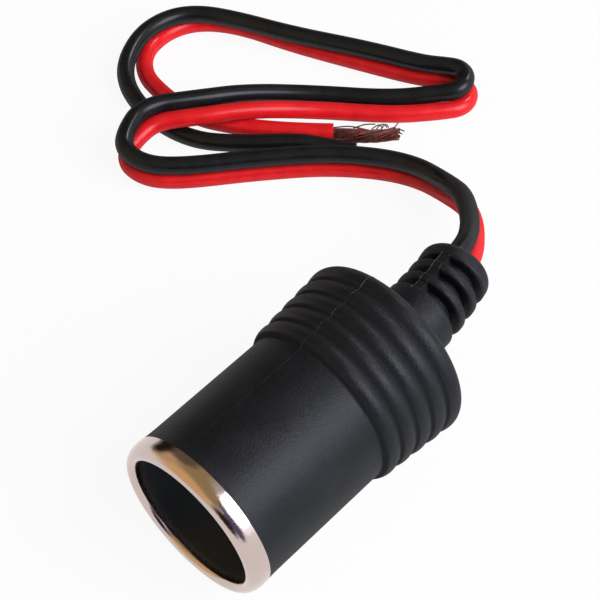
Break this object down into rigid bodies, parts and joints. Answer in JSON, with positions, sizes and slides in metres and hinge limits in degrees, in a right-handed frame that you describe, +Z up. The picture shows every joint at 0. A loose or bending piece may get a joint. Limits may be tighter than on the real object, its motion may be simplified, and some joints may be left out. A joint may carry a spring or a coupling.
{
  "type": "car power socket",
  "caption": "Inline 12 V car power socket: metal cup with a rolled rim in a soft black moulding with a ribbed collar and slotted strain relief, on a short red and black lead.",
  "frame": {"origin": "bottom centre of the socket as it lies on its side, without its lead", "axes": "+Y runs from the mouth to the strain relief, +Z is up, and the mouth looks towards -Y and slightly down"},
  "size_m": [0.1002, 0.1034, 0.029],
  "materials": {
    "moulding": "satin spark texture, soft PVC",
    "nickel": "bright nickel plate on steel",
    "insulator": "dull phenolic",
    "contact_brass": "plain brass",
    "black_sheath": "semi-gloss soft PVC",
    "red_sheath": "semi-gloss soft PVC",
    "copper_strands": "tarnished copper strands"
  },
  "bodies": {
    "root": {"body_moulding": "moulding", "socket_shell": "nickel", "black_core": "black_sheath", "red_core": "red_sheath", "black_bare_end": "copper_strands", "red_bare_end": "copper_strands", "base_insulator": "insulator", "centre_contact": "contact_brass", "contact_rivet": "contact_brass", "rear_insulator": "insulator", "positive_tag": "contact_brass", "negative_tag": "contact_brass", "black_tag_wire": "copper_strands", "red_tag_wire": "copper_strands"}
  },
  "joints": []
}
